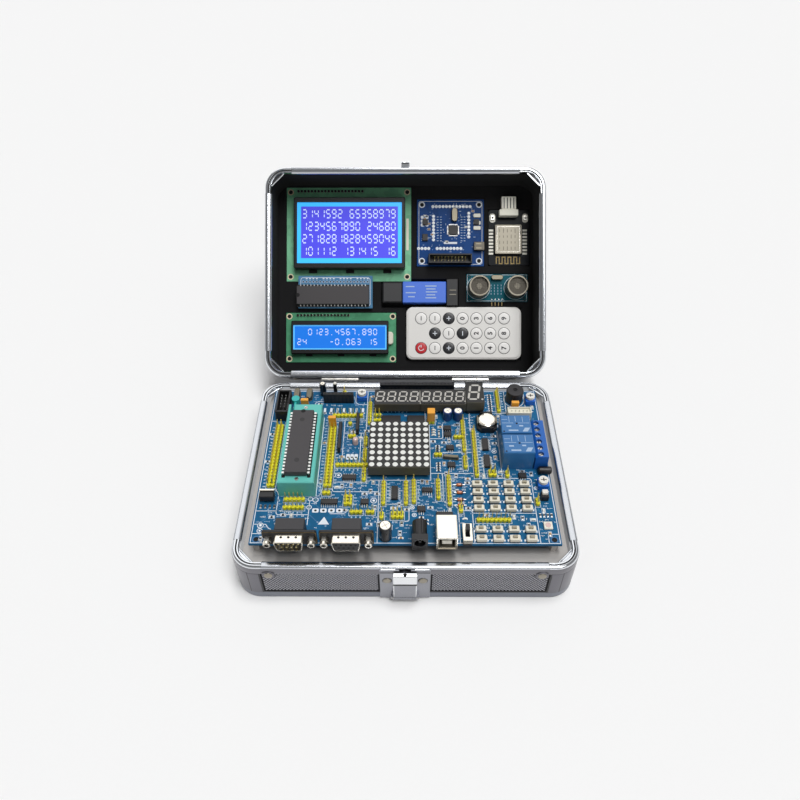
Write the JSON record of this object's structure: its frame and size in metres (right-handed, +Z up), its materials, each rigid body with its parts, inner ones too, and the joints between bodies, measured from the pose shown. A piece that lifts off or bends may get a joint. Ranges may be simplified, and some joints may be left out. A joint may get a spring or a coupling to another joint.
{
  "type": "microcontroller trainer board in a case",
  "caption": "Microcontroller development board on pillars in a hinged aluminium carrying case, with loose display and sensor modules held in foam in the open lid.",
  "frame": {"origin": "centre of the case base's underside", "axes": "+X to the right seen from the latch side, +Y towards the hinges, +Z up"},
  "size_m": [0.2, 0.2928, 0.142],
  "materials": {
    "base_shell": "diamond pattern aluminium sheet bonded on thin board",
    "base_frame": "satin anodised extrusion",
    "deck_plate": "brushed grey",
    "main_board": "blue solder mask with white legend",
    "zif_socket": "moulded teal",
    "microcontroller": "moulded black epoxy",
    "pin_headers": "yellow strips with plated pins",
    "socket_strips": "moulded black",
    "soldered_parts": "mixed small parts",
    "digit_displays": "dark face, white segments",
    "led_matrix": "dark face, white dots",
    "relays": "moulded blue",
    "terminal_block": "moulded blue",
    "buzzer": "moulded black",
    "coin_cell_holder": "dark holder with steel cell",
    "usb_socket": "tinned steel",
    "power_jack": "moulded black",
    "serial_ports": "plated steel shell",
    "switch_bases": "cream",
    "lid_shell": "diamond pattern aluminium sheet outside, black inside",
    "lid_frame": "satin anodised extrusion",
    "lid_foam": "black foam",
    "graphic_display": "green board, blue display",
    "text_display": "green board, blue display",
    "chip_adapter": "blue board, black chip",
    "usb_programmer": "blue sleeve, black ends",
    "converter_board": "blue board",
    "wifi_module": "black board with metal can",
    "range_sensor": "teal board with metal transducers",
    "remote_control": "white card with round keys",
    "latch_lever": "bright plated",
    "zif_lever": "steel rod with teal ball",
    "power_switch_knob": "moulded black",
    "key_plunger": "cream",
    "trimmer_dial": "white"
  },
  "bodies": {
    "case_base": {"base_shell": "base_shell", "base_frame": "base_frame", "deck_plate": "deck_plate", "main_board": "main_board", "zif_socket": "zif_socket", "microcontroller": "microcontroller", "pin_headers": "pin_headers", "socket_strips": "socket_strips", "soldered_parts": "soldered_parts", "digit_displays": "digit_displays", "led_matrix": "led_matrix", "relays": "relays", "terminal_block": "terminal_block", "buzzer": "buzzer", "coin_cell_holder": "coin_cell_holder", "usb_socket": "usb_socket", "power_jack": "power_jack", "serial_ports": "serial_ports", "switch_bases": "switch_bases"},
    "lid": {"lid_shell": "lid_shell", "lid_frame": "lid_frame", "lid_foam": "lid_foam", "graphic_display": "graphic_display", "text_display": "text_display", "chip_adapter": "chip_adapter", "usb_programmer": "usb_programmer", "converter_board": "converter_board", "wifi_module": "wifi_module", "range_sensor": "range_sensor", "remote_control": "remote_control"},
    "latch": {"latch_lever": "latch_lever"},
    "zif_lever": {"zif_lever": "zif_lever"},
    "power_switch": {"power_switch_knob": "power_switch_knob"},
    "key_1_1": {"key_1_1": "key_plunger"},
    "key_1_2": {"key_1_2": "key_plunger"},
    "key_1_3": {"key_1_3": "key_plunger"},
    "key_1_4": {"key_1_4": "key_plunger"},
    "key_2_1": {"key_2_1": "key_plunger"},
    "key_2_2": {"key_2_2": "key_plunger"},
    "key_2_3": {"key_2_3": "key_plunger"},
    "key_2_4": {"key_2_4": "key_plunger"},
    "key_3_1": {"key_3_1": "key_plunger"},
    "key_3_2": {"key_3_2": "key_plunger"},
    "key_3_3": {"key_3_3": "key_plunger"},
    "key_3_4": {"key_3_4": "key_plunger"},
    "key_4_1": {"key_4_1": "key_plunger"},
    "key_4_2": {"key_4_2": "key_plunger"},
    "key_4_3": {"key_4_3": "key_plunger"},
    "key_4_4": {"key_4_4": "key_plunger"},
    "key_5_1": {"key_5_1": "key_plunger"},
    "key_5_2": {"key_5_2": "key_plunger"},
    "key_5_3": {"key_5_3": "key_plunger"},
    "key_5_4": {"key_5_4": "key_plunger"},
    "key_6_1": {"key_6_1": "key_plunger"},
    "key_6_2": {"key_6_2": "key_plunger"},
    "key_6_3": {"key_6_3": "key_plunger"},
    "key_6_4": {"key_6_4": "key_plunger"},
    "trimmer_dial_1": {"trimmer_dial_1": "trimmer_dial"},
    "trimmer_dial_2": {"trimmer_dial_2": "trimmer_dial"},
    "trimmer_dial_3": {"trimmer_dial_3": "trimmer_dial"}
  },
  "joints": [
    {"name": "lid_hinge", "type": "hinge", "parent": "case_base", "child": "lid", "pos_m": [0, 0.0764, 0.0324], "axis": [1, 0, 0], "range_deg": [0, 136]},
    {"name": "latch_hinge", "type": "hinge", "parent": "case_base", "child": "latch", "pos_m": [0, -0.07775, 0.005], "axis": [1, 0, 0], "range_deg": [0, 80], "stiffness_Nm_per_rad": 0.02, "springref_deg": -20.05},
    {"name": "zif_lever_hinge", "type": "hinge", "parent": "case_base", "child": "zif_lever", "pos_m": [-0.073, 0.0326, 0.0426], "axis": [1, 0, 0], "range_deg": [0, 90]},
    {"name": "power_switch_slide", "type": "slide", "parent": "case_base", "child": "power_switch", "axis": [0, -1, 0], "range_m": [0, 0.0026]},
    {"name": "key_1_1_press", "type": "slide", "parent": "case_base", "child": "key_1_1", "axis": [0, 0, -1], "range_m": [0, 0.00025], "stiffness_N_per_m": 300, "springref_m": -0.0002},
    {"name": "key_1_2_press", "type": "slide", "parent": "case_base", "child": "key_1_2", "axis": [0, 0, -1], "range_m": [0, 0.00025], "stiffness_N_per_m": 300, "springref_m": -0.0002},
    {"name": "key_1_3_press", "type": "slide", "parent": "case_base", "child": "key_1_3", "axis": [0, 0, -1], "range_m": [0, 0.00025], "stiffness_N_per_m": 300, "springref_m": -0.0002},
    {"name": "key_1_4_press", "type": "slide", "parent": "case_base", "child": "key_1_4", "axis": [0, 0, -1], "range_m": [0, 0.00025], "stiffness_N_per_m": 300, "springref_m": -0.0002},
    {"name": "key_2_1_press", "type": "slide", "parent": "case_base", "child": "key_2_1", "axis": [0, 0, -1], "range_m": [0, 0.00025], "stiffness_N_per_m": 300, "springref_m": -0.0002},
    {"name": "key_2_2_press", "type": "slide", "parent": "case_base", "child": "key_2_2", "axis": [0, 0, -1], "range_m": [0, 0.00025], "stiffness_N_per_m": 300, "springref_m": -0.0002},
    {"name": "key_2_3_press", "type": "slide", "parent": "case_base", "child": "key_2_3", "axis": [0, 0, -1], "range_m": [0, 0.00025], "stiffness_N_per_m": 300, "springref_m": -0.0002},
    {"name": "key_2_4_press", "type": "slide", "parent": "case_base", "child": "key_2_4", "axis": [0, 0, -1], "range_m": [0, 0.00025], "stiffness_N_per_m": 300, "springref_m": -0.0002},
    {"name": "key_3_1_press", "type": "slide", "parent": "case_base", "child": "key_3_1", "axis": [0, 0, -1], "range_m": [0, 0.00025], "stiffness_N_per_m": 300, "springref_m": -0.0002},
    {"name": "key_3_2_press", "type": "slide", "parent": "case_base", "child": "key_3_2", "axis": [0, 0, -1], "range_m": [0, 0.00025], "stiffness_N_per_m": 300, "springref_m": -0.0002},
    {"name": "key_3_3_press", "type": "slide", "parent": "case_base", "child": "key_3_3", "axis": [0, 0, -1], "range_m": [0, 0.00025], "stiffness_N_per_m": 300, "springref_m": -0.0002},
    {"name": "key_3_4_press", "type": "slide", "parent": "case_base", "child": "key_3_4", "axis": [0, 0, -1], "range_m": [0, 0.00025], "stiffness_N_per_m": 300, "springref_m": -0.0002},
    {"name": "key_4_1_press", "type": "slide", "parent": "case_base", "child": "key_4_1", "axis": [0, 0, -1], "range_m": [0, 0.00025], "stiffness_N_per_m": 300, "springref_m": -0.0002},
    {"name": "key_4_2_press", "type": "slide", "parent": "case_base", "child": "key_4_2", "axis": [0, 0, -1], "range_m": [0, 0.00025], "stiffness_N_per_m": 300, "springref_m": -0.0002},
    {"name": "key_4_3_press", "type": "slide", "parent": "case_base", "child": "key_4_3", "axis": [0, 0, -1], "range_m": [0, 0.00025], "stiffness_N_per_m": 300, "springref_m": -0.0002},
    {"name": "key_4_4_press", "type": "slide", "parent": "case_base", "child": "key_4_4", "axis": [0, 0, -1], "range_m": [0, 0.00025], "stiffness_N_per_m": 300, "springref_m": -0.0002},
    {"name": "key_5_1_press", "type": "slide", "parent": "case_base", "child": "key_5_1", "axis": [0, 0, -1], "range_m": [0, 0.00025], "stiffness_N_per_m": 300, "springref_m": -0.0002},
    {"name": "key_5_2_press", "type": "slide", "parent": "case_base", "child": "key_5_2", "axis": [0, 0, -1], "range_m": [0, 0.00025], "stiffness_N_per_m": 300, "springref_m": -0.0002},
    {"name": "key_5_3_press", "type": "slide", "parent": "case_base", "child": "key_5_3", "axis": [0, 0, -1], "range_m": [0, 0.00025], "stiffness_N_per_m": 300, "springref_m": -0.0002},
    {"name": "key_5_4_press", "type": "slide", "parent": "case_base", "child": "key_5_4", "axis": [0, 0, -1], "range_m": [0, 0.00025], "stiffness_N_per_m": 300, "springref_m": -0.0002},
    {"name": "key_6_1_press", "type": "slide", "parent": "case_base", "child": "key_6_1", "axis": [0, 0, -1], "range_m": [0, 0.00025], "stiffness_N_per_m": 300, "springref_m": -0.0002},
    {"name": "key_6_2_press", "type": "slide", "parent": "case_base", "child": "key_6_2", "axis": [0, 0, -1], "range_m": [0, 0.00025], "stiffness_N_per_m": 300, "springref_m": -0.0002},
    {"name": "key_6_3_press", "type": "slide", "parent": "case_base", "child": "key_6_3", "axis": [0, 0, -1], "range_m": [0, 0.00025], "stiffness_N_per_m": 300, "springref_m": -0.0002},
    {"name": "key_6_4_press", "type": "slide", "parent": "case_base", "child": "key_6_4", "axis": [0, 0, -1], "range_m": [0, 0.00025], "stiffness_N_per_m": 300, "springref_m": -0.0002},
    {"name": "trimmer_dial_1_turn", "type": "hinge", "parent": "case_base", "child": "trimmer_dial_1", "pos_m": [-0.0293, 0.0554, 0.0398], "axis": [0, 0, 1], "range_deg": [-135, 135]},
    {"name": "trimmer_dial_2_turn", "type": "hinge", "parent": "case_base", "child": "trimmer_dial_2", "pos_m": [0.0844, 0.0521, 0.0398], "axis": [0, 0, 1], "range_deg": [-135, 135]},
    {"name": "trimmer_dial_3_turn", "type": "hinge", "parent": "case_base", "child": "trimmer_dial_3", "pos_m": [0.0837, -0.0193, 0.0398], "axis": [0, 0, 1], "range_deg": [-135, 135]}
  ]
}
